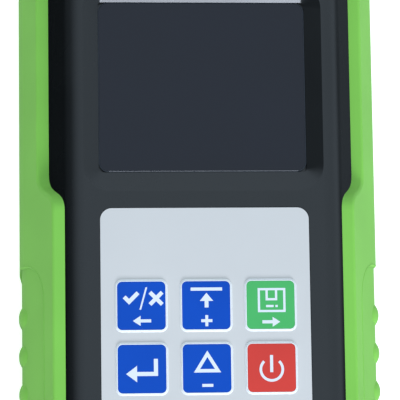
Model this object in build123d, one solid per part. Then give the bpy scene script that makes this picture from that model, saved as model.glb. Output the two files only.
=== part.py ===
from build123d import *
import math
import os

# Handheld optical power meter, in millimetres. It lies on its back: X runs across the case, Y towards
# the optical port and Z up through the front face. The pieces are drawn about the middle of the case and
# written out about the middle of the whole length, dust cap included, with Z = 0 on the back's rest plane.

# Case halves
case_half_width = 38.0
case_half_length = 84.5
case_corner_r = 18.0
case_wall = 2.2
case_back_edge_r = 4.0
parting_z = 16.0
front_z = 33.0
side_taper = 26.0
plateau_edge_r = 6.0
panel_thick = 2.0

# Rubber boot: its lip stands low round the display, rises in an S and stands high round the keypad
boot_thick = 3.0
boot_gap = 0.3
boot_back = 2.6
boot_back_edge_r = 7.0
boot_waist_r = 10.0
boot_lip_edge_r = 0.8
lip_low_z = 24.1
lip_high_z = 31.0
flare_top_y = 12.6
flare_bottom_y = 3.8

# Ribbed grip pocket on each side of the boot
grip_depth = 0.5
grip_top_y = -7.9
grip_bottom_y = -66.0
grip_low_z = 2.5
grip_high_z = 26.5
grip_corner_r = 8.0
grip_edge_chamfer = 0.3
rib_count = 5
rib_first_y = -18.9
rib_pitch = 8.7
rib_r = 3.8
rib_proud = 0.2
rib_low_z = 7.2
rib_high_z = 15.2

# Back pad that fills the boot's open back
pad_border = 4.0
pad_inset = 9.0
pad_corner_r = 9.0
pad_gap = 0.3
back_z = 0.8

# Display recess and window
window_side_inset = 14.7
window_end_inset = 33.5
window_bottom_y = 12.4
window_corner_r = 2.3
window_seat_corner_r = 0.8
recess_side = 3.6
recess_head = 4.0
recess_foot = 4.6
recess_corner_r = 6.0
window_top_z = 30.2
window_thick = 1.2
window_edge_height = 0.15
window_edge_slope = 59.0
window_fit = 0.03
window_ledge = 3.0
ledge_thick = 1.5
frame_margin = 4.3

# Keypad
label_side_inset = 14.8
label_end_inset = 29.0
label_top_y = 4.0
label_corner_r = 2.6
label_thick = 0.3
label_fit = 0.2
key_side_margin = 3.35
key_head_margin = 16.15
key_space_x = 3.2
key_space_y = 2.8
key_names = (
    ("key_pass_fail", "key_threshold", "key_save"),
    ("key_ok", "key_reference", "key_power"),
)
key_corner_r = 1.3
key_edge_r = 0.12
key_rim = 0.2
key_field_depth = 0.12
key_proud = 0.5
key_fit = 0.12
key_flange_reach = 0.95
key_flange_thick = 1.0
key_plunger_r = 1.75
key_travel = 0.5
key_end_gap = 0.05
dome_r = 4.0
dome_foot_thick = 0.25
dome_top_r = 1.6
dome_height = 1.2

# Board and what it carries
board_side_inset = 9.0
board_head_inset = 20.0
board_foot_inset = 26.5
board_corner_r = 3.0
board_top_z = 24.8
board_thick = 1.6
board_screw_inset = 4.0
board_screw_middle_y = -2.0
board_screw_foot_inset = 12.0
board_boss_r = 2.6
board_screw_r = 1.0
board_screw_length = 5.0
board_head_r = 2.0
board_head_height = 1.4
screw_fit = 0.05
chip_height = 1.2
chip_row_y = 0.0
chip_spacing = 13.5
processor_size = 10.0
converter_width = 7.0
converter_length = 5.0
power_chip_size = 4.0
power_chip_spacing = 8.0
panel_margin = 1.2
panel_rim = 2.0
display_thick = 2.1
display_lift = 0.4
display_fit = 0.1

# Case screws
case_screw_side_inset = 14.5
case_screw_end_inset = 15.0
case_boss_r = 3.6
case_column_r = 4.2
case_screw_r = 1.3
case_head_r = 2.7
case_head_height = 2.4
case_head_z = 8.0
case_head_fit = 0.5
case_screw_tip_z = 26.0

# Ports in the top end
port_z = 10.2
port_window_half_width = 21.0
port_window_half_height = 6.0
port_window_corner_r = 5.0
adapter_half_width = 8.0
adapter_half_height = 5.0
adapter_corner_r = 2.0
adapter_flange_thick = 1.5
adapter_nose_r = 4.0
adapter_nose_length = 9.0
adapter_nose_chamfer = 0.4
adapter_spigot_r = 3.7
adapter_spigot_length = 4.0
adapter_slot_width = 2.0
adapter_slot_depth = 1.4
adapter_slot_length = 4.0
adapter_screw_x = 6.0
adapter_screw_r = 0.8
adapter_screw_length = 8.0
adapter_head_r = 1.5
adapter_head_height = 0.9
ferrule_bore_r = 1.255
holder_length = 10.0
holder_fit = 0.05
diode_r = 2.35
diode_flange_r = 2.7
diode_length = 3.5
diode_flange_thick = 0.5
diode_lead_r = 0.23
diode_lead_circle_r = 1.27
diode_lead_length = 7.0
diode_end_gap = 0.2
cap_wall = 1.1
cap_clearance = 0.3
cap_end_thick = 1.7
cap_rim_r = 6.2
cap_rim_thick = 1.6
cap_rim_edge_r = 0.5
usb_x = 15.0
usb_width = 9.0
usb_height = 3.2
usb_length = 7.5
usb_corner_r = 1.4
usb_wall = 0.3
usb_back = 1.0
usb_tongue_inset = 0.8
usb_tongue_width = 6.6
usb_tongue_thick = 0.7
usb_fit = 0.1
port_board_width = 13.0
port_board_length = 7.6
port_board_gap = 0.2
port_board_thick = 1.2

# Battery bay, door and cells
cell_r = 7.25
cell_body_length = 49.5
cell_nub_r = 2.75
cell_nub_length = 1.0
cell_edge_r = 0.8
cell_side_gap = 0.5
cell_end_gap = 0.02
bay_side_gap = 0.75
bay_end_inset = 15.5
bay_wall = 2.8
bay_roof_thick = 1.5
bay_headroom = 0.4
contact_thick = 0.4
contact_size = 10.0
spring_bow = 5.68
spring_half_height = 4.5
spring_width = 5.0
door_thick = 2.4
door_overlap = 2.0
door_gap = 0.35
door_cell_gap = 0.5
door_pin_r = 0.6
door_pin_length = 1.8
door_pin_fit = 0.05
door_groove_count = 3
door_groove_pitch = 3.0
door_groove_width = 1.2
door_groove_depth = 0.6
door_groove_length = 20.0
door_notch_r = 8.0
door_notch_depth = 1.6

# Sizes that follow from the ones above
window_half_width = case_half_width - window_side_inset
window_top_y = case_half_length - window_end_inset
recess_half_width = window_half_width + recess_side
recess_top_y = window_top_y + recess_head
recess_bottom_y = window_bottom_y - recess_foot
label_half_width = case_half_width - label_side_inset
label_bottom_y = label_end_inset - case_half_length
key_columns_width = 2 * (label_half_width - key_side_margin)
key_size = (key_columns_width + key_space_x) / len(key_names[0]) - key_space_x
key_pitch_x = key_size + key_space_x
key_columns = (-key_pitch_x, 0.0, key_pitch_x)
key_first_y = label_top_y - key_head_margin - key_size / 2
key_rows = (key_first_y, key_first_y - key_size - key_space_y)
key_flange_size = key_size + 2 * key_flange_reach
board_half_width = case_half_width - board_side_inset
board_top_y = case_half_length - board_head_inset
board_bottom_y = board_foot_inset - case_half_length
board_screw_x = board_half_width - board_screw_inset
board_screw_rows = (
    board_top_y - board_screw_inset,
    board_screw_middle_y,
    board_bottom_y + board_screw_foot_inset,
)
case_screw_x = case_half_width - case_screw_side_inset
case_screw_y = case_half_length - case_screw_end_inset
cell_length = cell_body_length + cell_nub_length
cell_pitch = 2 * cell_r + cell_side_gap
bay_half_width = cell_pitch + cell_r + bay_side_gap
bay_length = cell_length + cell_end_gap + spring_bow + 2 * contact_thick
bay_bottom_y = pad_inset + bay_end_inset - case_half_length
bay_top_y = bay_bottom_y + bay_length
boot_half_width = case_half_width + boot_thick
panel_back_z = front_z - panel_thick
window_floor_z = window_top_z - window_thick
frame_back_z = window_floor_z - ledge_thick
board_back_z = board_top_z - board_thick
shell_back_z = boot_back + boot_gap
end_wall_y = case_half_length
end_inner_y = case_half_length - case_wall
door_top_z = back_z + door_thick
cell_z = door_top_z + door_cell_gap + cell_r
bay_ceiling_z = cell_z + cell_r + bay_headroom
adapter_face_y = end_wall_y + adapter_flange_thick
nose_end_y = adapter_face_y + adapter_nose_length
cap_end_y = nose_end_y + cap_clearance + cap_end_thick
middle_y = (cap_end_y - case_half_length - boot_thick) / 2
spigot_end_y = end_wall_y - adapter_spigot_length
label_back_z = front_z - label_thick
key_flange_z = panel_back_z - key_flange_thick
dome_top_z = board_top_z + dome_foot_thick + dome_height
hinge_y = bay_top_y + door_overlap - door_thick / 2
hinge_z = back_z + door_thick / 2
door_half_width = bay_half_width + door_overlap
door_free_y = bay_bottom_y - door_overlap
pad_half_width = door_half_width + pad_border
pad_half_length = case_half_length - pad_inset
cells = (("battery_left", -cell_pitch, 1), ("battery_middle", 0.0, -1), ("battery_right", cell_pitch, 1))

UP = (Align.CENTER, Align.CENTER, Align.MIN)


def plan(grow):
    """The case outline, moved outwards by grow."""
    width = 2 * (case_half_width + grow)
    length = 2 * (case_half_length + grow)
    return RectangleRounded(width, length, case_corner_r + grow)


def band(half_width, low_y, high_y, corner_r):
    """A rounded rectangle centred on X = 0, between two stations along Y."""
    return Pos(0, (low_y + high_y) / 2) * RectangleRounded(2 * half_width, high_y - low_y, corner_r)


def block(outline, low_z, high_z):
    """An outline raised between two heights."""
    return extrude(Pos(0, 0, low_z) * outline, high_z - low_z)


def rod(start, end, radius):
    """A round bar from one point to another."""
    run = Vector(*end) - Vector(*start)
    return Plane(origin=start, z_dir=run) * Cylinder(radius, run.length, align=UP)


def post(x, y, low_z, high_z, radius):
    """A round bar that stands along Z."""
    return rod((x, y, low_z), (x, y, high_z), radius)


def along_y(x, low_y, high_y, z, radius):
    """A round bar that lies along Y."""
    return rod((x, low_y, z), (x, high_y, z), radius)


def end_face(half_width, half_height, corner_r, x=0.0):
    """A rounded rectangle in a plane across Y, centred on the port height."""
    outline = RectangleRounded(2 * half_width, 2 * half_height, corner_r)
    return Plane(origin=(x, 0, port_z), x_dir=(1, 0, 0), z_dir=(0, 1, 0)) * outline


def end_block(outline, low_y, high_y):
    """An outline across Y, carried from one station to another."""
    return extrude(Pos(0, low_y, 0) * outline, high_y - low_y, dir=(0, 1, 0))


def upper_body(grow, top_z):
    """The tapered body above the parting plane."""
    return extrude(Pos(0, 0, parting_z) * plan(grow), top_z - parting_z, taper=side_taper)


def lower_body(grow, low_z, edge_r):
    """The straight body below the parting plane, with a rounded back edge."""
    body = block(plan(grow), low_z, parting_z)
    return fillet(body.faces().sort_by(Axis.Z)[0].edges(), edge_r)


def whole_body(grow, low_z, edge_r):
    """Both bodies, with the bend at the parting plane rounded off."""
    body = upper_body(grow, front_z) + lower_body(grow, low_z, edge_r)
    bend = body.edges().filter_by_position(Axis.Z, parting_z - 0.01, parting_z + 0.01)
    return fillet(bend, boot_waist_r)


def key_places():
    """Name and centre of every key."""
    for y, names in zip(key_rows, key_names):
        for x, name in zip(key_columns, names):
            yield name, x, y


def board_screw_places():
    """Centre of every board screw."""
    return [(side * board_screw_x, y) for y in board_screw_rows for side in (-1, 1)]


def case_screw_places():
    """Centre of every case screw."""
    return [(sx * case_screw_x, sy * case_screw_y) for sx in (-1, 1) for sy in (-1, 1)]


def grip_rib(y):
    """One upright rib with round ends, mostly sunk in the side of the boot."""
    axis_x = boot_half_width + rib_proud - rib_r
    low = (axis_x, y, rib_low_z)
    high = (axis_x, y, rib_high_z)
    return rod(low, high, rib_r) + Pos(low) * Sphere(rib_r) + Pos(high) * Sphere(rib_r)


def space_above_lip():
    """Everything above the boot's lip, as one piece to take away."""
    far_y = 2 * case_half_length
    far_z = 2 * front_z
    rise = Spline(
        (0, flare_top_y, lip_low_z),
        (0, flare_bottom_y, lip_high_z),
        tangents=((0, -1, 0), (0, -1, 0)),
    )
    rest = Polyline(
        (0, flare_bottom_y, lip_high_z),
        (0, -far_y, lip_high_z),
        (0, -far_y, far_z),
        (0, far_y, far_z),
        (0, far_y, lip_low_z),
        (0, flare_top_y, lip_low_z),
    )
    return extrude(make_face([rise, rest]), 2 * case_half_width, dir=(1, 0, 0), both=True)


def lip_edges(body):
    """The outer edges of the lip: the upper ends of the body's side walls."""
    edges = body.edges().filter_by_position(Axis.Z, lip_low_z - 0.01, lip_high_z + 0.01)
    return [edge for edge in edges if abs(edge.center().X) > 1 or abs(edge.center().Y) > case_half_length / 2]


def pocket_rim(boot, zone, floor):
    """The outer edges of a grip pocket: they lie on the zone's walls and clear of the pocket's floor."""
    walls = Compound([face for face in zone.faces() if abs(face.normal_at().X) < 0.5])
    edges = [edge for edge in boot.edges() if Vertex(edge @ 0.5).distance_to(walls) < 0.001]
    return [edge for edge in edges if edge.distance_to(floor) > grip_depth / 2]


def make_rubber_boot():
    boot = whole_body(boot_thick, 0, boot_back_edge_r) - space_above_lip()
    boot = fillet(lip_edges(boot), boot_lip_edge_r)
    grip_floor = whole_body(boot_thick - grip_depth, grip_depth, boot_back_edge_r - grip_depth)
    grip_middle = ((grip_top_y + grip_bottom_y) / 2, (grip_low_z + grip_high_z) / 2)
    grip_outline = RectangleRounded(grip_top_y - grip_bottom_y, grip_high_z - grip_low_z, grip_corner_r)
    grip_zone = extrude(Plane.YZ * Pos(*grip_middle) * grip_outline, 2 * boot_half_width)
    for zone in (grip_zone, mirror(grip_zone, about=Plane.YZ)):
        boot -= zone - grip_floor
        boot = chamfer(pocket_rim(boot, zone, grip_floor), grip_edge_chamfer)
    for n in range(rib_count):
        rib = grip_rib(rib_first_y - n * rib_pitch)
        boot += [rib, mirror(rib, about=Plane.YZ)]
    boot -= upper_body(boot_gap, front_z) + lower_body(boot_gap, boot_back, case_back_edge_r + boot_gap)
    boot -= block(back_pad(0), -1, parting_z)
    port_window = end_face(port_window_half_width, port_window_half_height, port_window_corner_r)
    boot -= end_block(port_window, end_inner_y, end_wall_y + 2 * boot_thick)
    return boot


def make_front_shell():
    shell = upper_body(0, front_z)
    shell = fillet(shell.faces().sort_by(Axis.Z)[-1].edges(), plateau_edge_r)
    hollow = upper_body(-case_wall, panel_back_z)
    shell -= fillet(hollow.faces().sort_by(Axis.Z)[-1].edges(), plateau_edge_r - panel_thick)
    frame = band(
        window_half_width + frame_margin,
        window_bottom_y - frame_margin,
        window_top_y + frame_margin,
        window_corner_r + frame_margin,
    )
    shell += block(frame, frame_back_z, panel_back_z + panel_thick / 2)
    for x, y in board_screw_places():
        shell += post(x, y, board_top_z, panel_back_z + panel_thick / 2, board_boss_r)
        hole_end_z = board_back_z + board_screw_length + screw_fit
        shell -= post(x, y, board_top_z, hole_end_z, board_screw_r + screw_fit)
    for x, y in case_screw_places():
        shell += post(x, y, parting_z, panel_back_z + panel_thick / 2, case_boss_r)
        shell -= post(x, y, parting_z, case_screw_tip_z + screw_fit, case_screw_r + screw_fit)
    seat = band(
        window_half_width + window_fit,
        window_bottom_y - window_fit,
        window_top_y + window_fit,
        window_seat_corner_r,
    )
    mouth = band(recess_half_width, recess_bottom_y, recess_top_y, recess_corner_r)
    shell -= loft([Pos(0, 0, window_top_z) * seat, Pos(0, 0, front_z) * mouth])
    shell -= block(seat, window_floor_z, window_top_z)
    sight = band(
        window_half_width - window_ledge,
        window_bottom_y + window_ledge,
        window_top_y - window_ledge,
        window_corner_r,
    )
    shell -= block(sight, frame_back_z - 1, window_top_z)
    label_pocket = band(
        label_half_width + label_fit,
        label_bottom_y - label_fit,
        label_top_y + label_fit,
        label_corner_r + label_fit,
    )
    shell -= block(label_pocket, label_back_z, front_z + 1)
    for hole in key_holes():
        shell -= block(hole, key_flange_z, front_z)
    return shell


def key_holes():
    """The opening round each key."""
    size = key_size + 2 * key_fit
    return [Pos(x, y) * RectangleRounded(size, size, key_corner_r + key_fit) for _, x, y in key_places()]


def back_pad(inset):
    """The outline of the open back of the boot, moved inwards by inset."""
    half_length = pad_half_length - inset
    return band(pad_half_width - inset, -half_length, half_length, pad_corner_r - inset)


def make_rear_shell():
    pad = back_pad(pad_gap)
    floor = back_pad(pad_gap + case_wall)
    shell = lower_body(0, shell_back_z, case_back_edge_r) + block(pad, back_z, shell_back_z + case_wall)
    shell -= block(plan(-case_wall), shell_back_z + case_wall, parting_z)
    shell -= block(floor, door_top_z, parting_z)
    roof_z = bay_ceiling_z + bay_roof_thick
    bay_outside = band(bay_half_width + bay_wall, bay_bottom_y - bay_wall, bay_top_y + bay_wall, bay_wall / 2)
    shell += block(bay_outside, back_z, roof_z)
    bay = Pos(0, (bay_bottom_y + bay_top_y) / 2) * Rectangle(2 * bay_half_width, bay_top_y - bay_bottom_y)
    shell -= block(bay, 0, bay_ceiling_z)
    for x, y in case_screw_places():
        shell += post(x, y, back_z, parting_z, case_column_r)
        shell -= post(x, y, 0, parting_z, case_screw_r + screw_fit)
        shell -= post(x, y, 0, case_head_z, case_head_r + case_head_fit)
    opening_low_y = door_free_y - door_gap
    opening_high_y = hinge_y + door_thick / 2 + door_gap
    opening = Pos(0, (opening_low_y + opening_high_y) / 2) * Rectangle(
        2 * (door_half_width + door_gap), opening_high_y - opening_low_y
    )
    shell -= block(opening, 0, door_top_z)
    hinge_room = door_half_width + door_gap
    shell -= rod((-hinge_room, hinge_y, hinge_z), (hinge_room, hinge_y, hinge_z), door_thick / 2 + door_gap)
    pin_end = door_half_width + door_pin_length + door_gap
    shell -= rod((-pin_end, hinge_y, hinge_z), (pin_end, hinge_y, hinge_z), door_pin_r + door_pin_fit)
    shell -= Pos(0, opening_low_y, back_z + door_notch_depth - door_notch_r) * Sphere(door_notch_r)
    shell += port_shelf()
    shell -= along_y(0, end_inner_y, end_wall_y, port_z, adapter_spigot_r + holder_fit)
    for side in (-1, 1):
        shell -= along_y(side * adapter_screw_x, end_inner_y, end_wall_y, port_z, adapter_screw_r + screw_fit)
    usb_hole = end_face(usb_width / 2 + usb_fit, usb_height / 2 + usb_fit, usb_corner_r + usb_fit, usb_x)
    shell -= end_block(usb_hole, end_inner_y, end_wall_y)
    return shell


def port_shelf():
    """The ledge inside the end wall that carries the port board."""
    shelf = Pos(usb_x, end_inner_y - port_board_length / 2) * Rectangle(port_board_width, port_board_length)
    return block(shelf, shell_back_z + case_wall / 2, port_z - usb_height / 2 - port_board_thick)


def make_display_window():
    outline = band(window_half_width, window_bottom_y, window_top_y, window_corner_r)
    edge_z = window_top_z - window_edge_height
    bevelled_edge = extrude(Pos(0, 0, edge_z) * outline, window_edge_height, taper=window_edge_slope)
    return block(outline, window_floor_z, edge_z) + bevelled_edge


def make_display_panel():
    half_width = window_half_width - panel_margin
    low_z = board_top_z + display_lift
    outline = Pos(0, (window_bottom_y + window_top_y) / 2) * Rectangle(
        2 * half_width, window_top_y - window_bottom_y - 2 * panel_margin
    )
    return block(outline, low_z, low_z + display_thick)


def make_display_frame():
    inner = display_fit - panel_margin
    outer = inner + panel_rim
    frame = block(
        band(window_half_width + outer, window_bottom_y - outer, window_top_y + outer, panel_rim),
        board_top_z,
        frame_back_z,
    )
    hole = Pos(0, (window_bottom_y + window_top_y) / 2) * Rectangle(
        2 * (window_half_width + inner), window_top_y - window_bottom_y + 2 * inner
    )
    return frame - block(hole, board_top_z + display_lift, frame_back_z)


def make_keypad_overlay():
    film = block(band(label_half_width, label_bottom_y, label_top_y, label_corner_r), label_back_z, front_z)
    for hole in key_holes():
        film -= block(hole, label_back_z, front_z)
    return film


def make_key(x, y):
    cap = block(RectangleRounded(key_size, key_size, key_corner_r), panel_back_z, front_z + key_proud)
    cap = fillet(cap.faces().sort_by(Axis.Z)[-1].edges(), key_edge_r)
    field_size = key_size - 2 * key_rim
    field = RectangleRounded(field_size, field_size, key_corner_r - key_rim)
    cap -= block(field, front_z + key_proud - key_field_depth, front_z + key_proud)
    cap += block(RectangleRounded(key_flange_size, key_flange_size, key_corner_r), key_flange_z, panel_back_z)
    cap += post(0, 0, dome_top_z + key_travel + key_end_gap, key_flange_z, key_plunger_r)
    return Pos(x, y) * cap


def make_snap_domes():
    domes = []
    for _, x, y in key_places():
        dome = post(0, 0, 0, dome_foot_thick, dome_r)
        dome += Pos(0, 0, dome_foot_thick) * Cone(dome_r - dome_foot_thick, dome_top_r, dome_height, align=UP)
        domes.append(Pos(x, y, board_top_z) * dome)
    return Compound(domes)


def make_main_board():
    outline = band(board_half_width, board_bottom_y, board_top_y, board_corner_r)
    board = block(outline, board_back_z, board_top_z)
    for x, y in board_screw_places():
        board -= post(x, y, board_back_z, board_top_z, board_screw_r + 2 * screw_fit)
    return board


def make_board_chips():
    power_y = board_screw_rows[-1]
    outlines = (
        Pos(0, chip_row_y) * Rectangle(processor_size, processor_size),
        Pos(-chip_spacing, chip_row_y) * Rectangle(converter_width, converter_length),
        Pos(chip_spacing, chip_row_y) * Rectangle(converter_length, converter_width),
        Pos(-power_chip_spacing, power_y) * Rectangle(power_chip_size, power_chip_size),
        Pos(power_chip_spacing, power_y) * Rectangle(power_chip_size, power_chip_size),
    )
    return Compound([block(outline, board_top_z, board_top_z + chip_height) for outline in outlines])


def cross_slot(size, low_z, high_z):
    """The cross recess of a screw head."""
    bar = Rectangle(2 * size, size / 2)
    return block(bar + Rot(0, 0, 90) * bar, low_z, high_z)


def make_screw(head_z, shank_r, shank_length, head_r, head_height):
    """A screw that points up, its head's seat at head_z."""
    screw = post(0, 0, head_z, head_z + shank_length, shank_r)
    screw += post(0, 0, head_z - head_height, head_z, head_r)
    return screw - cross_slot(head_r * 0.6, head_z - head_height, head_z - head_height / 2)


def make_board_screws():
    screw = make_screw(board_back_z, board_screw_r, board_screw_length, board_head_r, board_head_height)
    return Compound([Pos(x, y) * screw for x, y in board_screw_places()])


def make_case_screws():
    length = case_screw_tip_z - case_head_z
    screw = make_screw(case_head_z, case_screw_r, length, case_head_r, case_head_height)
    return Compound([Pos(x, y) * screw for x, y in case_screw_places()])


def make_detector_holder():
    low_y = end_inner_y - holder_length
    outline = end_face(adapter_half_width, adapter_half_height, adapter_corner_r)
    holder = end_block(outline, low_y, end_inner_y)
    holder -= along_y(0, low_y, end_inner_y, port_z, diode_flange_r + holder_fit)
    holder -= along_y(0, spigot_end_y - holder_fit, end_inner_y, port_z, adapter_spigot_r + holder_fit)
    screw_tip_y = adapter_face_y - adapter_head_height - adapter_screw_length
    for side in (-1, 1):
        x = side * adapter_screw_x
        holder -= along_y(x, screw_tip_y - screw_fit, end_inner_y, port_z, adapter_screw_r + screw_fit)
    return holder


def make_photodiode():
    face_y = spigot_end_y - diode_end_gap
    base_y = face_y - diode_length
    back_y = base_y - diode_flange_thick
    diode = along_y(0, base_y, face_y, port_z, diode_r)
    diode += along_y(0, back_y, base_y, port_z, diode_flange_r)
    for turn in (90, 210, 330):
        angle = math.radians(turn)
        x = diode_lead_circle_r * math.cos(angle)
        z = port_z + diode_lead_circle_r * math.sin(angle)
        diode += along_y(x, back_y - diode_lead_length, back_y, z, diode_lead_r)
    return diode


def make_connector_adapter():
    flange = end_face(adapter_half_width, adapter_half_height, adapter_corner_r)
    adapter = end_block(flange, end_wall_y, adapter_face_y)
    nose = along_y(0, end_wall_y, nose_end_y, port_z, adapter_nose_r)
    adapter += chamfer(nose.faces().sort_by(Axis.Y)[-1].edges(), adapter_nose_chamfer)
    adapter += along_y(0, spigot_end_y, end_wall_y, port_z, adapter_spigot_r)
    adapter -= along_y(0, spigot_end_y, nose_end_y, port_z, ferrule_bore_r)
    slot_z = port_z + adapter_nose_r
    slot = end_face(adapter_slot_width / 2, adapter_slot_depth, adapter_slot_width / 4)
    adapter -= end_block(Pos(0, 0, slot_z - port_z) * slot, nose_end_y - adapter_slot_length, nose_end_y)
    seat_y = adapter_face_y - adapter_head_height
    for side in (-1, 1):
        x = side * adapter_screw_x
        adapter -= along_y(x, end_wall_y, adapter_face_y, port_z, adapter_screw_r + screw_fit)
        adapter -= along_y(x, seat_y, adapter_face_y, port_z, adapter_head_r + screw_fit)
    return adapter


def make_adapter_screws():
    screw = make_screw(0, adapter_screw_r, adapter_screw_length, adapter_head_r, adapter_head_height)
    seat_y = adapter_face_y - adapter_head_height
    places = [Pos(side * adapter_screw_x, seat_y, port_z) for side in (-1, 1)]
    return Compound([place * Rot(90, 0, 0) * screw for place in places])


def make_dust_cap():
    low_y = adapter_face_y + cap_clearance
    bore_r = adapter_nose_r + cap_clearance
    rim = along_y(0, cap_end_y - cap_rim_thick, cap_end_y, port_z, cap_rim_r)
    rim = fillet(rim.edges().filter_by(GeomType.CIRCLE), cap_rim_edge_r)
    cap = along_y(0, low_y, cap_end_y, port_z, bore_r + cap_wall) + rim
    return cap - along_y(0, low_y, cap_end_y - cap_end_thick, port_z, bore_r)


def make_usb_socket():
    low_y = end_wall_y - usb_length
    outside = end_face(usb_width / 2, usb_height / 2, usb_corner_r, usb_x)
    inside = end_face(usb_width / 2 - usb_wall, usb_height / 2 - usb_wall, usb_corner_r - usb_wall, usb_x)
    tongue = end_face(usb_tongue_width / 2, usb_tongue_thick / 2, usb_tongue_thick / 4, usb_x)
    socket = end_block(outside, low_y, end_wall_y)
    socket -= end_block(inside, low_y + usb_back, end_wall_y)
    return socket + end_block(tongue, low_y, end_wall_y - usb_tongue_inset)


def make_port_board():
    high_y = end_inner_y - port_board_gap
    outline = Pos(usb_x, high_y - port_board_length / 2) * Rectangle(port_board_width, port_board_length)
    top_z = port_z - usb_height / 2
    return block(outline, top_z - port_board_thick, top_z)


def make_battery_door():
    outline = Pos(0, (door_free_y + hinge_y) / 2) * Rectangle(2 * door_half_width, hinge_y - door_free_y)
    door = block(outline, back_z, door_top_z)
    door += rod((-door_half_width, hinge_y, hinge_z), (door_half_width, hinge_y, hinge_z), door_thick / 2)
    pin_end = door_half_width + door_pin_length
    door += rod((-pin_end, hinge_y, hinge_z), (pin_end, hinge_y, hinge_z), door_pin_r)
    for n in range(door_groove_count):
        y = door_free_y + (n + 1.5) * door_groove_pitch
        groove = Pos(0, y) * SlotOverall(door_groove_length, door_groove_width)
        door -= block(groove, back_z, back_z + door_groove_depth)
    return door


def facing(shape, way):
    """Turns what stands at a cell's end to the bay's other end, for a cell laid the other way round."""
    middle = Plane.XZ.offset(-(bay_top_y + bay_bottom_y) / 2)
    return shape if way > 0 else mirror(shape, about=middle)


def make_cell(x, way):
    tip_y = bay_top_y - contact_thick - cell_end_gap
    shoulder_y = tip_y - cell_nub_length
    cell = along_y(x, shoulder_y - cell_body_length, shoulder_y, cell_z, cell_r)
    cell = fillet(cell.edges().filter_by(GeomType.CIRCLE), cell_edge_r)
    return facing(cell + along_y(x, shoulder_y, tip_y, cell_z, cell_nub_r), way)


def contact_plate(x, low_y):
    """A flat contact across the end of a cell."""
    across = Plane(origin=(x, low_y, cell_z), x_dir=(1, 0, 0), z_dir=(0, 1, 0))
    return extrude(across * Rectangle(contact_size, contact_size), contact_thick, dir=(0, 1, 0))


def make_battery_contacts():
    return Compound([facing(contact_plate(x, bay_top_y - contact_thick), way) for _, x, way in cells])


def make_battery_springs():
    foot_y = bay_bottom_y + contact_thick
    tip_y = foot_y + spring_bow - cell_end_gap
    root_y = foot_y - contact_thick / 2
    outer = ThreePointArc(
        (0, root_y, cell_z - spring_half_height), (0, tip_y, cell_z), (0, root_y, cell_z + spring_half_height)
    )
    inner_half = spring_half_height - contact_thick
    inner = ThreePointArc(
        (0, root_y, cell_z - inner_half), (0, tip_y - contact_thick, cell_z), (0, root_y, cell_z + inner_half)
    )
    ends = [Line(outer @ 0, inner @ 0), Line(outer @ 1, inner @ 1)]
    leaf = extrude(make_face([outer, inner, *ends]), spring_width / 2, dir=(1, 0, 0), both=True)
    springs = [contact_plate(x, bay_bottom_y) + Pos(x, 0, 0) * leaf for _, x, _ in cells]
    return Compound([facing(spring, way) for spring, (_, _, way) in zip(springs, cells)])


parts = {
    "rubber_boot": make_rubber_boot(),
    "front_shell": make_front_shell(),
    "rear_shell": make_rear_shell(),
    "display_window": make_display_window(),
    "display_panel": make_display_panel(),
    "display_frame": make_display_frame(),
    "keypad_overlay": make_keypad_overlay(),
    "snap_domes": make_snap_domes(),
    "main_board": make_main_board(),
    "board_chips": make_board_chips(),
    "board_screws": make_board_screws(),
    "case_screws": make_case_screws(),
    "detector_holder": make_detector_holder(),
    "photodiode": make_photodiode(),
    "connector_adapter": make_connector_adapter(),
    "adapter_screws": make_adapter_screws(),
    "dust_cap": make_dust_cap(),
    "usb_socket": make_usb_socket(),
    "port_board": make_port_board(),
    "battery_door": make_battery_door(),
    "battery_contacts": make_battery_contacts(),
    "battery_springs": make_battery_springs(),
}
for name, x, y in key_places():
    parts[name] = make_key(x, y)
for name, x, way in cells:
    parts[name] = make_cell(x, way)

os.makedirs("parts", exist_ok=True)
for name, shape in parts.items():
    placed = Pos(0, -middle_y, 0) * shape
    placed.label = name
    export_step(placed, f"parts/{name}.step")
    print(name, placed.bounding_box().size)
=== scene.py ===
# %% [markdown]
# # A handheld optical power meter, dressed for its portrait
#
# The construction of this meter already exists as solid parts: a dark tapered case, a green rubber boot
# stretched round it, a display window, a pale keypad label and six keys. This lesson loads those parts as a
# fixed frame and gives each one the finish that the real thing has. Where a moulded part would show more
# than its solid does, such as a printed key, a modelled piece is added to it.

# %% Load the frame
import math

import bmesh
import bpy
from mathutils import Matrix, Vector
from mathutils.bvhtree import BVHTree


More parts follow.
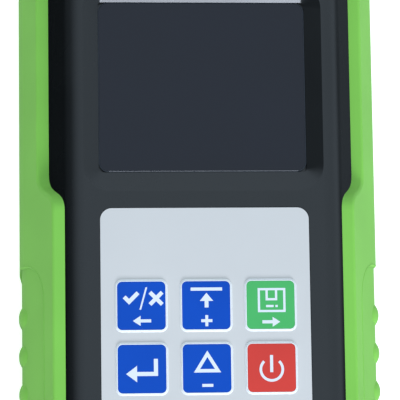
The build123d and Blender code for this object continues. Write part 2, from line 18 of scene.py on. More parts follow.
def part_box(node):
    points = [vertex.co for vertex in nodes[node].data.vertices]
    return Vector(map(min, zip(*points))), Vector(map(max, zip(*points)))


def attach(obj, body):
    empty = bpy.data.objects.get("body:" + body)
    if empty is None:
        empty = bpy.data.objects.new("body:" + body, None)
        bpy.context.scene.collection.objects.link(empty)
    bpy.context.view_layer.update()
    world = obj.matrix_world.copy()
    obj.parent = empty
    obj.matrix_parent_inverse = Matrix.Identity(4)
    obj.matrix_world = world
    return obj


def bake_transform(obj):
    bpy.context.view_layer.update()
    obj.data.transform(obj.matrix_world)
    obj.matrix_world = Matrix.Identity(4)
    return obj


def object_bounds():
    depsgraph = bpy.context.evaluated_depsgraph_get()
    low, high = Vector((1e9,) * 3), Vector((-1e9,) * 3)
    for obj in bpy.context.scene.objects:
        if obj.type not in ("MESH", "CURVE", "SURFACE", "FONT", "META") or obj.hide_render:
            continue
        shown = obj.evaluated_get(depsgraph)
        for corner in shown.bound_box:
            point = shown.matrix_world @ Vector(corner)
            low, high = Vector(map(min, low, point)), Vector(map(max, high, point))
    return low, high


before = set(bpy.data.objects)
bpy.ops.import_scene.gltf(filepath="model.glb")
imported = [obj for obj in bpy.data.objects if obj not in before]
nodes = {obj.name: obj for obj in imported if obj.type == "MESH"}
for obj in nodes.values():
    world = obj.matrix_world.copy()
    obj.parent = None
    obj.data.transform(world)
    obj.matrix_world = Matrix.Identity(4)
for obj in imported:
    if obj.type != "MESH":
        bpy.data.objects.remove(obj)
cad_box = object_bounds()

MM = 0.001
scene = bpy.context.scene
print(len(nodes), "solid parts, box in mm:", [round(v / MM, 1) for corner in cad_box for v in corner])

# %% [markdown]
# ## The camera
#
# The portrait was taken from close to straight above, a little from the left and from the foot end, with a
# long lens. The viewing direction is given by two small angles, and the picture is rolled by less than a
# degree. A long lens far away keeps the case's sides from spreading.

# %% Camera at the portrait's viewing angle
FRONT_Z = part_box("keypad_overlay")[1].z
LABEL_TOP_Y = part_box("keypad_overlay")[1].y
VIEW_LEFT = math.radians(4.57)
VIEW_FOOT = math.radians(7.14)
VIEW_ROLL = math.radians(-0.79)
VIEW_DISTANCE = 500 * MM
IMAGE_SIDE = 400
FOCAL_PIXELS = 2252.3
SENSOR = 36.0


def add_camera():
    """A long-lens camera that looks at a point between the window and the label."""
    target = Vector((-1.01 * MM, LABEL_TOP_Y + 1.75 * MM, FRONT_Z))
    back = Vector((
        -math.sin(VIEW_LEFT) * math.cos(VIEW_FOOT),
        -math.sin(VIEW_FOOT),
        math.cos(VIEW_LEFT) * math.cos(VIEW_FOOT),
    ))
    right = Vector((0, 1, 0)).cross(back).normalized()
    up = back.cross(right)
    turn = Matrix((right, up, back)).transposed() @ Matrix.Rotation(VIEW_ROLL, 3, "Z")
    data = bpy.data.cameras.new("portrait_camera")
    data.sensor_width = SENSOR
    data.lens = FOCAL_PIXELS / IMAGE_SIDE * SENSOR
    data.clip_start = 0.05
    data.clip_end = 10
    camera = bpy.data.objects.new("portrait_camera", data)
    camera.matrix_world = Matrix.Translation(target + back * VIEW_DISTANCE) @ turn.to_4x4()
    scene.collection.objects.link(camera)
    scene.camera = camera
    return camera


camera = add_camera()
print("lens", round(camera.data.lens, 1), "mm at", round(VIEW_DISTANCE / MM), "mm")

# %% [markdown]
# ## The floor and the light
#
# The meter lies on its back on a white floor. Dark satin plastic shows little colour of its own: most of
# what is seen on it is the reflected room, so the room is shaped with care. It is slightly blue, bright
# overhead, dim on the left and brighter on the right and beyond the head, and it is dark below. A picture
# of a real room would do the same, but a few mixed numbers are easier to tune. One small soft light stands
# low at the foot end, and the upper bevel of the display recess shines with it. The floor stays out of the
# mirror reflections, so that the steep shoulders of the case fall into the deep shade that they have in the
# portrait.


# %% Floor, room and soft light
def link_nodes(tree, *pairs):
    """Joins pairs of sockets in a node tree."""
    for start, end in pairs:
        tree.links.new(start, end)


def mix_ends(mix):
    """The two inputs and the result of a mix node, for the kind of value that it mixes."""
    first, second = [end for end in mix.inputs if end.enabled and end.name in ("A", "B")]
    result = [end for end in mix.outputs if end.enabled][0]
    return first, second, result


def add_floor():
    """A wide white sheet under the meter."""
    side = 3.0
    mesh = bpy.data.meshes.new("floor")
    corners = [(-side, -side, 0), (side, -side, 0), (side, side, 0), (-side, side, 0)]
    mesh.from_pydata(corners, [], [(0, 1, 2, 3)])
    floor = bpy.data.objects.new("floor", mesh)
    floor.location.z = cad_box[0].z
    scene.collection.objects.link(floor)
    paper = bpy.data.materials.new("floor_paper")
    paper.use_nodes = True
    shader = paper.node_tree.nodes["Principled BSDF"]
    shader.inputs["Base Color"].default_value = (0.92, 0.92, 0.92, 1)
    shader.inputs["Roughness"].default_value = 0.9
    shader.inputs["Emission Color"].default_value = (1, 0.93, 0.86, 1)
    shader.inputs["Emission Strength"].default_value = 0.58
    mesh.materials.append(paper)
    floor.visible_glossy = False
    return floor


def light_room(left, right, head, above, below_left, below_right):
    """The room's soft light: how bright it is at the horizon, overhead and below."""
    world = bpy.data.worlds.new("studio")
    world.use_nodes = True
    scene.world = world
    tree = world.node_tree
    direction = tree.nodes.new("ShaderNodeTexCoord")
    axes = tree.nodes.new("ShaderNodeSeparateXYZ")
    tree.links.new(direction.outputs["Generated"], axes.inputs[0])

    def span(axis, start, end):
        """Runs from 0 to 1 between two values of a direction's part along an axis."""
        ramp = tree.nodes.new("ShaderNodeMapRange")
        ramp.inputs["From Min"].default_value = start
        ramp.inputs["From Max"].default_value = end
        tree.links.new(axes.outputs[axis], ramp.inputs["Value"])
        return ramp

    def blend(factor, first, second):
        """Mixes two brightnesses, each a number or another mix."""
        mix = tree.nodes.new("ShaderNodeMix")
        tree.links.new(factor.outputs["Result"], mix.inputs["Factor"])
        start, end, _ = mix_ends(mix)
        for socket, value in ((start, first), (end, second)):
            if isinstance(value, float):
                socket.default_value = value
            else:
                tree.links.new(mix_ends(value)[2], socket)
        return mix

    side = span("X", -1, 1)
    horizon = blend(span("Y", 0.2, 0.75), blend(side, left, right), head)
    low = blend(side, below_left, below_right)
    upper = blend(span("Z", 0.35, 0.92), horizon, above)
    room = blend(span("Z", 0, -0.35), upper, low)
    background = tree.nodes["Background"]
    background.inputs["Color"].default_value = (0.72, 0.86, 1.0, 1)
    tree.links.new(mix_ends(room)[2], background.inputs["Strength"])


def add_soft_light(name, place, aim, width, height, watts, tint):
    """A flat soft light that faces a point."""
    data = bpy.data.lights.new(name, "AREA")
    data.shape = "RECTANGLE"
    data.color = tint
    data.size = width
    data.size_y = height
    data.energy = watts
    lamp = bpy.data.objects.new(name, data)
    lamp.location = place
    lamp.rotation_euler = (Vector(place) - Vector(aim)).to_track_quat("Z", "Y").to_euler()
    scene.collection.objects.link(lamp)
    return lamp


floor = add_floor()
light_room(left=0.13, right=0.98, head=1.18, above=1.16, below_left=0.012, below_right=0.17)
lamp = add_soft_light(
    "foot_light", (0.12, -0.75, 0.42), (0, 0.03, 0.03), 0.38, 0.30, watts=6.4, tint=(0.80, 0.87, 1.0))
scene.view_settings.view_transform = "Standard"
print("floor at", round(floor.location.z / MM, 2), "mm, light", round(lamp.location.length / MM), "mm away")

# %% [markdown]
# ## Finishes
#
# Every surface gets a finish made of nodes, so nothing is one flat colour. Moulded plastic and rubber have
# a fine spark-eroded grain from the tool, a slow drift in colour, and gloss that changes a little from
# place to place. One helper lays these three down, because the parts differ in their numbers only. The
# coordinates are the object's own, so the grain sits still on the part however it is turned. A second
# helper turns a finish into another one past a place along an axis, such as where the polished face of a
# sheet ends at its ground edge.


# %% One recipe for moulded finishes
def mottled_finish(name, colour, roughness, drift=0.08, drift_mm=18.0, grain=0.12, grain_mm=0.25,
                   rough_drift=0.06, metal=0.0, reflect=0.5, sheen=0.0):
    """A finish with a slow colour drift, uneven gloss and a fine grain."""
    material = bpy.data.materials.new(name)
    material.use_nodes = True
    tree = material.node_tree
    shader = tree.nodes["Principled BSDF"]
    shader.inputs["Metallic"].default_value = metal
    shader.inputs["Specular IOR Level"].default_value = reflect
    shader.inputs["Sheen Weight"].default_value = sheen
    shader.inputs["Sheen Roughness"].default_value = 0.45
    place = tree.nodes.new("ShaderNodeTexCoord")

    slow = tree.nodes.new("ShaderNodeTexNoise")
    slow.inputs["Scale"].default_value = 1 / (drift_mm * MM)
    slow.inputs["Detail"].default_value = 3
    shades = tree.nodes.new("ShaderNodeValToRGB")
    shades.color_ramp.elements[0].position = 0.3
    shades.color_ramp.elements[1].position = 0.7
    shades.color_ramp.elements[0].color = (*[c * (1 - drift) for c in colour], 1)
    shades.color_ramp.elements[1].color = (*[min(1, c * (1 + drift)) for c in colour], 1)
    polish = tree.nodes.new("ShaderNodeMapRange")
    polish.inputs["To Min"].default_value = roughness - rough_drift
    polish.inputs["To Max"].default_value = roughness + rough_drift

    fine = tree.nodes.new("ShaderNodeTexNoise")
    fine.inputs["Scale"].default_value = 1 / (grain_mm * MM)
    fine.inputs["Detail"].default_value = 2
    bump = tree.nodes.new("ShaderNodeBump")
    bump.inputs["Strength"].default_value = grain
    bump.inputs["Distance"].default_value = grain_mm * MM * 0.1
    link_nodes(
        tree,
        (place.outputs["Object"], slow.inputs["Vector"]),
        (place.outputs["Object"], fine.inputs["Vector"]),
        (slow.outputs["Fac"], shades.inputs["Fac"]),
        (shades.outputs["Color"], shader.inputs["Base Color"]),
        (slow.outputs["Fac"], polish.inputs["Value"]),
        (polish.outputs["Result"], shader.inputs["Roughness"]),
        (fine.outputs["Fac"], bump.inputs["Height"]),
        (bump.outputs["Normal"], shader.inputs["Normal"]),
    )
    return material


def change_along(material, axis, start, end, colour, roughness):
    """Turns a finish into another colour and roughness between two places along an axis."""
    tree = material.node_tree
    shader = tree.nodes["Principled BSDF"]
    place = tree.nodes.new("ShaderNodeTexCoord")
    axes = tree.nodes.new("ShaderNodeSeparateXYZ")
    change = tree.nodes.new("ShaderNodeMapRange")
    change.inputs["From Min"].default_value = start
    change.inputs["From Max"].default_value = end
    link_nodes(
        tree,
        (place.outputs["Object"], axes.inputs[0]),
        (axes.outputs[axis], change.inputs["Value"]),
    )
    for socket, kind, value in (("Base Color", "RGBA", (*colour, 1)), ("Roughness", "FLOAT", roughness)):
        mix = tree.nodes.new("ShaderNodeMix")
        mix.data_type = kind
        before, after, result = mix_ends(mix)
        after.default_value = value
        link_nodes(
            tree,
            (change.outputs["Result"], mix.inputs["Factor"]),
            (shader.inputs[socket].links[0].from_socket, before),
            (result, shader.inputs[socket]),
        )


def srgb(red, green, blue):
    """A screen colour from 0 to 255 as the linear light that Blender mixes."""
    def linear(value):
        part = value / 255
        return part / 12.92 if part <= 0.04045 else ((part + 0.055) / 1.055) ** 2.4
    return linear(red), linear(green), linear(blue)


def dress(material, *names):
    """Gives solid parts their finish."""
    for name in names:
        mesh = nodes[name].data
        mesh.materials.clear()
        mesh.materials.append(material)


# %% [markdown]
# ## What the outer parts are made of
#
# The boot is soft green rubber with a faint bloom, the case is satin plastic that is nearly black by
# itself, and the lens is smoked and polished. The lens is sawn from a sheet, so its edge is ground and
# matt and looks paler than its face. The edge colour is made paler still, as painted light over the shade
# in the narrow groove round the lens. The label is a pale printed film with hardly any texture. The boot
# is left out of mirror reflections: a real boot tints the case's shoulders only a little, and here they
# would turn plainly green.

# %% Finishes of the outer parts
boot_rubber = mottled_finish(
    "boot_rubber_green", (0.205, 0.51, 0.070), 0.55, drift=0.04, grain=0.06, reflect=0.2, sheen=0.06)
case_grey = mottled_finish(
    "case_moulded_grey", (0.0026, 0.0036, 0.0037), 0.27, drift=0.15, grain=0.10, reflect=0.57)
window_smoke = mottled_finish(
    "window_smoked_lens", (0.0012, 0.0020, 0.0075), 0.09, grain=0.0, rough_drift=0.02, reflect=0.41)
label_film = mottled_finish("label_pale_film", (0.585, 0.56, 0.53), 0.45, drift=0.015, grain=0.04)
cap_rubber = mottled_finish("cap_black_rubber", (0.014, 0.014, 0.015), 0.62, drift=0.2, grain=0.15)
# Under this height the lens's edge is ground, rougher and paler. Part of the paleness is real, and part is
# painted light over the shade in the groove round the lens.
LENS_EDGE_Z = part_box("display_window")[1].z - 0.02 * MM
change_along(window_smoke, "Z", LENS_EDGE_Z, LENS_EDGE_Z - 0.02 * MM, (0.030, 0.036, 0.044), 0.75)

dress(boot_rubber, "rubber_boot")
nodes["rubber_boot"].visible_glossy = False
dress(case_grey, "front_shell", "rear_shell", "battery_door")
dress(window_smoke, "display_window")
dress(label_film, "keypad_overlay")
dress(cap_rubber, "dust_cap")
print("outer parts dressed, lens edge ground under", round(LENS_EDGE_Z / MM, 2), "mm")

# %% [markdown]
# ## What the inner parts are made of
#
# The boards, screws and springs show only when the battery door is open or the meter is taken apart, but
# they get their own finishes all the same. Boards wear a glossy green mask with a drift on a small scale.
# Screws and switch domes are bright steel, and contacts, springs and the adapter are plated with nickel,
# which is a little warmer and smoother than steel.

# %% Finishes of the inner parts
black_moulding = mottled_finish("black_moulding", (0.012, 0.012, 0.013), 0.5)
display_dark = mottled_finish("display_switched_off", (0.004, 0.005, 0.008), 0.12, grain=0.0)
board_green = mottled_finish("board_solder_mask", (0.012, 0.10, 0.04), 0.35, drift=0.2, drift_mm=4)
steel = mottled_finish("bright_steel", (0.55, 0.56, 0.58), 0.28, metal=1.0, grain=0.05)
nickel = mottled_finish("nickel_plate", (0.66, 0.64, 0.60), 0.18, metal=1.0, grain=0.03)

dress(black_moulding, "display_frame", "detector_holder", "board_chips")
dress(display_dark, "display_panel")
dress(board_green, "main_board", "port_board")
dress(steel, "snap_domes", "board_screws", "case_screws", "adapter_screws", "usb_socket", "photodiode")
dress(nickel, "connector_adapter", "battery_contacts", "battery_springs")
print(len(bpy.data.materials), "finishes made")

# %% [markdown]
# ## Jackets of the cells
#
# A cell wears a shrunk plastic jacket, and the end with the nub is printed in another colour, so that it
# goes into the bay the right way round. The middle cell lies the other way round than its neighbours. A
# printed band could be one more thin piece, but a finish that changes colour along the cell is lighter and
# never flickers against the jacket under it.

# %% Jackets with a printed band
BAND_LENGTH = 13.0 * MM
for name, nub_up in (("battery_left", True), ("battery_middle", False), ("battery_right", True)):
    low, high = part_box(name)
    start = high.y - BAND_LENGTH if nub_up else low.y + BAND_LENGTH
    end = start + 0.1 * MM if nub_up else start - 0.1 * MM
    jacket = mottled_finish(name + "_jacket", (0.34, 0.36, 0.39), 0.3, drift=0.03, metal=0.4, grain=0.03)
    change_along(jacket, "Y", start, end, (0.02, 0.13, 0.30), 0.3)
    dress(jacket, name)
    print(name, "band starts at", round(start / MM, 1), "mm")

# %% [markdown]
# ## The keys
#
# A key here is a pale silicone cap with a shallow tray in its top, and the tray is already in the solid. On
# the real keypad a coloured film lies in the tray, and its pale rim stays bare round it. The film is built
# as a rounded square whose edge rolls down into the tray, from a few rings of points, each a little further
# in and higher than the last. A flat patch of colour would miss that soft edge.

# %% Coloured films in the trays
KEYS = {
    "key_pass_fail": "blue",
    "key_threshold": "blue",
    "key_save": "green",
    "key_ok": "blue",
    "key_reference": "blue",
    "key_power": "red",
}
KEY_TOP_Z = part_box("key_ok")[1].z
TRAY_DEPTH = 0.12 * MM
TRAY_SIDE = 10.7 * MM
TRAY_CORNER = 1.1 * MM
KEY_RIM = 0.2 * MM
FILM_GAP = 0.02 * MM
LEGEND_THICK = 0.02 * MM
FILM_TOP_Z = KEY_TOP_Z - 2 * LEGEND_THICK


def key_centre(name):
    """The middle of a key, seen from the front."""
    low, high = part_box(name)
    return Vector(((low.x + high.x) / 2, (low.y + high.y) / 2, 0))


def add_piece(name, mesh, material, body):
    """Puts a new mesh in the scene, with its finish and the body it rides on."""
    mesh.materials.append(material)
    piece = bpy.data.objects.new(name, mesh)
    scene.collection.objects.link(piece)
    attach(piece, body)
    return piece


def rounded_square(side, corner, steps=8):
    """Points round a square with rounded corners, counter-clockwise."""
    points = []
    for quarter in range(4):
        turn = math.radians(90 * quarter)
        middle = Vector((side / 2 - corner, side / 2 - corner)) @ Matrix.Rotation(-turn, 2)
        for step in range(steps + 1):
            angle = turn + math.radians(90 * step / steps)
            points.append((middle.x + corner * math.cos(angle), middle.y + corner * math.sin(angle)))
    return points


def square_ring(centre, side, corner, height):
    """A rounded square laid round a key's middle at a height."""
    return [(centre.x + x, centre.y + y, height) for x, y in rounded_square(side, corner)]


def ring_skin(name, *runs, looped=False):
    """Skins runs of rings. A run's two ends are closed with a face each, or joined to each other."""
    shape = bmesh.new()
    for rings in runs:
        rows = [[shape.verts.new(point) for point in ring] for ring in rings]
        count = len(rows[0])
        for lower, upper in zip(rows, rows[1:] + rows[:1] if looped else rows[1:]):
            for i in range(count):
                j = (i + 1) % count
                face = shape.faces.new((lower[i], lower[j], upper[j], upper[i]))
                face.smooth = True
        if not looped:
            shape.faces.new(list(reversed(rows[0])))
            shape.faces.new(rows[-1])
    bmesh.ops.recalc_face_normals(shape, faces=shape.faces)
    mesh = bpy.data.meshes.new(name)
    shape.to_mesh(mesh)
    shape.free()
    return mesh


def film_mesh(name, centre):
    """A film that fills the tray and rolls down to its edge."""
    floor_z = KEY_TOP_Z - TRAY_DEPTH
    side = TRAY_SIDE - 2 * FILM_GAP
    rise = FILM_TOP_Z - floor_z
    roll = 0.35 * MM
    rings = [square_ring(centre, side, TRAY_CORNER, floor_z)]
    for step in range(6):
        angle = math.radians(90 * step / 5)
        inset = roll * (1 - math.cos(angle))
        height = floor_z + rise * (0.5 + 0.5 * math.sin(angle))
        rings.append(square_ring(centre, side - 2 * inset, TRAY_CORNER - inset, height))
    return ring_skin(name, rings)


# Pale silicone for the keys' own rims. The skirts wear it too, and on them its paleness is painted light.
rim_silicone_and_skirt_painted_light = mottled_finish("key_pale_silicone_and_skirt_painted_light", (0.84, 0.84, 0.82), 0.42, drift=0.02, grain=0.03)
key_films = {
    "blue": mottled_finish("key_film_blue", srgb(7, 71, 171), 0.42, drift=0.05, grain=0.03, reflect=0.12),
    "green": mottled_finish("key_film_green", srgb(76, 174, 96), 0.42, drift=0.04, grain=0.03, reflect=0.15),
    "red": mottled_finish("key_film_red", srgb(205, 62, 53), 0.42, drift=0.05, grain=0.03, reflect=0.15),
}
dress(rim_silicone_and_skirt_painted_light, *KEYS)
for name, colour in KEYS.items():
    mesh = film_mesh(name + "_film", key_centre(name))
    add_piece(name + "_film", mesh, key_films[colour], name + "_body")
print(len(KEYS), "films, tops at", round(FILM_TOP_Z / MM, 2), "mm")

# %% [markdown]
# ## The embossed skirts
#
# No gap shows round the keys of the portrait. The label is a thin film that is embossed up to each key, so
# a narrow slope joins the flat film to the key's rim, and the slopes towards the foot catch the light. The
# slope is given the pale colour of the key's rim rather than the label's. That is painted light: it lifts
# the shaded upper slopes to the flat film's brightness and makes the slopes towards the foot shine white.
# The skirt is a thin looped skin that stands in the scene on its own, tied to no body.

# %% Skirts between label and keys
SKIRT_THICK = 0.03 * MM
# Distance from the key's side and height over the label, in mm.
SKIRT_PROFILE = ((0.30, 0.0), (0.20, 0.08), (0.10, 0.22), (0.02, 0.38))


def skirt_mesh(name, centre):
    """A thin slope from the label up to a key's side."""
    side = TRAY_SIDE + 2 * KEY_RIM
    corner = TRAY_CORNER + KEY_RIM
    outer = [(away * MM, FRONT_Z + rise * MM + SKIRT_THICK) for away, rise in SKIRT_PROFILE]
    inner = [(away, height - SKIRT_THICK) for away, height in reversed(outer)]
    rings = [square_ring(centre, side + 2 * away, corner + away, height) for away, height in outer + inner]
    return ring_skin(name, rings, looped=True)


for name in KEYS:
    mesh = skirt_mesh(name + "_skirt", key_centre(name))
    # The skirt takes the rim's pale colour, not the label's: painted light that lifts its shaded upper
    # slopes to the film's brightness.
    mesh.materials.append(rim_silicone_and_skirt_painted_light)
    skirt = bpy.data.objects.new(name + "_skirt", mesh)
    scene.collection.objects.link(skirt)
    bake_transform(skirt)
print(len(KEYS), "skirts, each rising", SKIRT_PROFILE[-1][1], "mm")

# %% [markdown]
# ## Drawing the signs
#
# The keys carry plain signs in white and no words. A typeface has few of these signs, and in weights that
# don't go together, so each one is drawn here as closed outlines in millimetres, from straight strokes and
# from arcs. A second outline inside the first one becomes a hole.


# %% Strokes and signs
def bar(left, right, low, high):
    """A straight stroke."""
    return [(left, low), (right, low), (right, high), (left, high)]


def notched(left, right, low, high, notch_left, notch_right, notch_low):
    """A box with a notch in its upper side."""
    notch = [(notch_right, high), (notch_right, notch_low), (notch_left, notch_low), (notch_left, high)]
    return [(left, low), (right, low), (right, high)] + notch + [(left, high)]


def plus(middle, reach, width):
    """An upright cross."""
    half = width / 2
    arm = [(reach, -half), (reach, half), (half, half)]
    points = []
    for _ in range(4):
        points += arm
        arm = [(-y, x) for x, y in arm]
    return [(middle[0] + x, middle[1] + y) for x, y in points]


def times(middle, reach, width):
    """A leaning cross: an upright one after an eighth of a turn."""
    turn = math.sqrt(0.5)
    return [(middle[0] + (x - y) * turn, middle[1] + (x + y) * turn) for x, y in plus((0, 0), reach, width)]


def tick(corner, short, long, width):
    """A check mark whose arms rise at 45 degrees from its lowest point."""
    x, y = corner
    across = width * math.sqrt(0.5)
    right_arm = [(x + long, y + long), (x + long - across, y + long + across)]
    left_arm = [(x - short + across, y + short + across), (x - short, y + short)]
    return [corner] + right_arm + [(x, y + 2 * across)] + left_arm


def slash(top, bottom, width):
    """A leaning stroke between the middles of its two ends."""
    half = width / 2
    foot = [(bottom[0] - half, bottom[1]), (bottom[0] + half, bottom[1])]
    return foot + [(top[0] + half, top[1]), (top[0] - half, top[1])]


def arc(middle, reach, start, end, steps=40):
    """Points along part of an oval, between two angles in degrees."""
    turns = [math.radians(start + (end - start) * i / steps) for i in range(steps + 1)]
    return [(middle[0] + reach[0] * math.cos(t), middle[1] + reach[1] * math.sin(t)) for t in turns]


def arrow(tail, tip, middle, head_length, head_height, shaft):
    """A flat arrow that points along the row."""
    way = 1 if tip > tail else -1
    neck = tip - way * head_length
    edge = [(tail, shaft / 2), (neck, shaft / 2), (neck, head_height / 2)]
    lower = [(x, middle - y) for x, y in edge]
    upper = [(x, middle + y) for x, y in reversed(edge)]
    return lower + [(tip, middle)] + upper


def upright(outline):
    """The same outline with its two directions swapped, so that an arrow points up."""
    return [(y, x) for x, y in outline]


def enter_arrow(left, right, middle, high, head_length, head_height, shaft):
    """An arrow to the left whose tail turns up."""
    neck, half, tall = left + head_length, shaft / 2, head_height / 2
    inner = right - shaft
    below = [(neck, middle - tall), (neck, middle - half), (right, middle - half), (right, high)]
    above = [(inner, high), (inner, middle + half), (neck, middle + half), (neck, middle + tall)]
    return [(left, middle)] + below + above


def triangle(left, right, low, high, width):
    """A triangle with an even stroke: its hole shrinks towards the middle of the inscribed circle."""
    base, tall = right - left, high - low
    inscribed = base * tall / (base + 2 * math.hypot(base / 2, tall))
    x0, y0 = (left + right) / 2, low + inscribed
    outside = [(left, low), (right, low), (x0, high)]
    share = 1 - width / inscribed
    return [outside, [(x0 + (x - x0) * share, y0 + (y - y0) * share) for x, y in outside]]


print("signs ready: bar, cross, tick, slash, arrows, triangle")

# %% [markdown]
# ## The legends on the keys
#
# In place of words the keys have signs for what they do: tick and cross for pass or fail, an arrow against a
# line for the threshold, a triangle for a reading relative to a reference, and the usual signs for save,
# enter and power. Some have an arrow, a plus or a minus under them. On such films the signs are
# screen-printed in one thick white layer. The table below places each stroke in millimetres from the middle
# of its key. The outlines are then filled and given the thickness of the ink, which keeps their edges crisp
# at any distance, and each legend goes down with its key.

# %% Legends on the films
LEGENDS = {
    "key_pass_fail": [
        [tick((-2.7, 0.25), 1.4, 2.3, 0.9)],
        [slash((1.13, 4.05), (-0.26, -0.87), 0.38)],
        [times((3.25, 1.6), 1.9, 0.88)],
        [arrow(2.11, -1.91, -3.35, 1.7, 2.25, 0.68)],
    ],
    "key_threshold": [
        [bar(-3.4, 3.58, 3.23, 3.93)],
        [upright(arrow(-0.49, 2.75, 0.09, 1.8, 3.0, 0.86))],
        [plus((0.09, -3.41), 1.23, 0.64)],
    ],
    "key_save": [
        [
            bar(-2.85, 3.31, -1.63, 3.71),
            notched(-2.35, 2.81, -1.13, 3.21, -1.11, 1.49, 0.97),
            bar(-0.61, 0.99, 1.47, 3.21),
        ],
        [bar(-1.03, 0.65, -0.53, -0.04)],
        [bar(1.05, 1.57, -0.53, -0.04)],
        [arrow(-1.9, 2.07, -3.77, 1.7, 2.2, 0.7)],
    ],
    "key_ok": [
        [enter_arrow(-3.5, 3.5, -1.1, 2.2, 2.4, 3.6, 0.9)],
    ],
    "key_reference": [
        triangle(-2.9, 3.1, -0.9, 3.9, 0.75),
        [bar(-1.1, 1.33, -4.06, -3.42)],
    ],
    "key_power": [
        [arc((0, -0.36), (2.72, 2.72), 133, 407) + arc((0, -0.36), (2.14, 2.14), 407, 133)],
        [bar(-0.35, 0.32, -0.97, 2.79)],
    ],
}


def ink_mesh(name, shapes, centre):
    """Fills each shape's outlines and gives the fill the thickness of the ink."""
    mesh = bpy.data.meshes.new(name)
    ink = bmesh.new()
    for outlines in shapes:
        edges = []
        for outline in outlines:
            dots = [ink.verts.new((centre.x + x * MM, centre.y + y * MM, FILM_TOP_Z)) for x, y in outline]
            edges += [ink.edges.new((a, b)) for a, b in zip(dots, dots[1:] + dots[:1])]
        filled = bmesh.ops.triangle_fill(ink, edges=edges, use_beauty=True)
        faces = [part for part in filled["geom"] if isinstance(part, bmesh.types.BMFace)]
        raised = bmesh.ops.extrude_face_region(ink, geom=faces, use_keep_orig=True)
        tops = [part for part in raised["geom"] if isinstance(part, bmesh.types.BMVert)]
        bmesh.ops.translate(ink, verts=tops, vec=(0, 0, LEGEND_THICK))
    bmesh.ops.recalc_face_normals(ink, faces=ink.faces)
    ink.to_mesh(mesh)
    ink.free()
    return mesh


legend_ink = mottled_finish(
    "legend_white_ink", (0.72, 0.735, 0.765), 0.5, drift=0.015, grain=0.03, reflect=0.3)
for name, shapes in LEGENDS.items():
    mesh = ink_mesh(name + "_legend", shapes, key_centre(name))
    legend = add_piece(name + "_legend", mesh, legend_ink, name + "_body")
    print(legend.name, len(mesh.polygons), "faces")

# %% [markdown]
# ## The rims of the grip pockets
#
# Each side of the boot has a shallow ribbed pocket for the fingers. In the portrait its upper edge shows as
# a fine pale arch, because rubber that leaves a mould at such an edge keeps a small rolled rim. The rim is
# a thin bead that is laid on the boot's skin. Its path is known in side view only, so each of its points is
# found by looking from the side until the skin is met. That way it follows the boot however the skin bends.

# %% Beads along the pockets
POCKET_HEAD_Y = -12.65 * MM
POCKET_FOOT_Y = -70.75 * MM
POCKET_HIGH_Z = 26.5 * MM
POCKET_CORNER = 8.0 * MM
BEAD_START_Z = 15.0 * MM
BEAD_R = 0.16 * MM
BEAD_SUNK = 0.07 * MM
BEAD_AWAY = 0.4 * MM


def pocket_arch():
    """The upper part of a pocket's outline in side view, from its head end to its foot end."""
    reach = POCKET_CORNER + BEAD_AWAY
    mid_z = POCKET_HIGH_Z - POCKET_CORNER
    head, foot = POCKET_HEAD_Y - POCKET_CORNER, POCKET_FOOT_Y + POCKET_CORNER
    path = [(head + reach, BEAD_START_Z), (head + reach, (BEAD_START_Z + mid_z) / 2)]
    path += arc((head, mid_z), (reach, reach), 0, 90, 16)
    path += [(head + (foot - head) * i / 20, mid_z + reach) for i in range(1, 20)]
    path += arc((foot, mid_z), (reach, reach), 90, 180, 16)
    return path + [(foot - reach, (BEAD_START_Z + mid_z) / 2), (foot - reach, BEAD_START_Z)]


def bead_mesh(name, side, skin):
    """A thin bead along a pocket's arch, half sunk in the boot's skin."""
    seat = []
    for y, z in pocket_arch():
        spot, normal, _, _ = skin.ray_cast(Vector((side * 0.1, y, z)), Vector((-side, 0, 0)))
        seat.append((spot - normal * BEAD_SUNK, normal))
    rings = []
    for i, (spot, normal) in enumerate(seat):
        along = (seat[min(i + 1, len(seat) - 1)][0] - seat[max(i - 1, 0)][0]).normalized()
        across = along.cross(normal).normalized()
        turns = [math.radians(45 * step) for step in range(8)]
        rings.append([spot + BEAD_R * (math.cos(t) * normal + math.sin(t) * across) for t in turns])
    return ring_skin(name, rings)


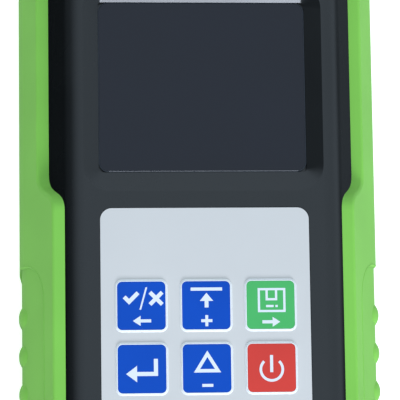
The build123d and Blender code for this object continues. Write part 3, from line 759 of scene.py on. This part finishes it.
boot_skin = BVHTree.FromObject(nodes["rubber_boot"], bpy.context.evaluated_depsgraph_get())
for name, side in (("left_pocket_rim", -1), ("right_pocket_rim", 1)):
    bead = add_piece(name, bead_mesh(name, side, boot_skin), boot_rubber, "meter")
    print(bead.name, "reaches to", round(max(abs(dot.co.x) for dot in bead.data.vertices) / MM, 2), "mm")

# %% [markdown]
# ## The thread of the optical port
#
# Under the dust cap sits the metal adapter, whose nose carries a fine outside thread for a connector's nut.
# It is cut on the real part. Here a narrow ridge with a sharp crest winds round the plain nose, low enough
# for the cap to slide over it, which needs far fewer faces than a cut thread. The nose has a keyway on top,
# and the ridge stops on either side of it.

# %% Fine thread on the adapter's nose
NOSE_END_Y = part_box("connector_adapter")[1].y
NOSE_R = 4.0 * MM
THREAD_PITCH = 0.75 * MM
THREAD_HEIGHT = 0.16 * MM
THREAD_START_Y = NOSE_END_Y - 7.4 * MM
THREAD_END_Y = NOSE_END_Y - 0.8 * MM
KEYWAY_START_Y = NOSE_END_Y - 4.4 * MM
KEYWAY_HALF_TURN = 18
STEPS_PER_TURN = 60


def thread_runs(middle):
    """Rings of a sharp ridge that winds along the nose, cut into runs where it meets the keyway."""
    runs, run = [], []
    for step in range(int((THREAD_END_Y - THREAD_START_Y) / THREAD_PITCH * STEPS_PER_TURN)):
        degrees = 360 * step / STEPS_PER_TURN
        y = THREAD_START_Y + THREAD_PITCH * step / STEPS_PER_TURN
        from_top = abs((degrees - 90 + 180) % 360 - 180)
        if y > KEYWAY_START_Y and from_top < KEYWAY_HALF_TURN:
            runs, run = runs + [run], []
            continue
        turn = Vector((math.cos(math.radians(degrees)), 0, math.sin(math.radians(degrees))))
        ring = []
        for rise, shift in ((-0.02 * MM, -0.3), (THREAD_HEIGHT, 0.0), (-0.02 * MM, 0.3)):
            ring.append(Vector((middle.x, y + THREAD_PITCH * shift, middle.z)) + turn * (NOSE_R + rise))
        run.append(ring)
    return [part for part in runs + [run] if len(part) > 1]


low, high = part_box("dust_cap")
port_middle = (low + high) / 2
thread_mesh = ring_skin("adapter_thread", *thread_runs(port_middle))
thread = add_piece("adapter_thread", thread_mesh, nickel, "meter")
print("thread of", len(thread.data.polygons), "faces")
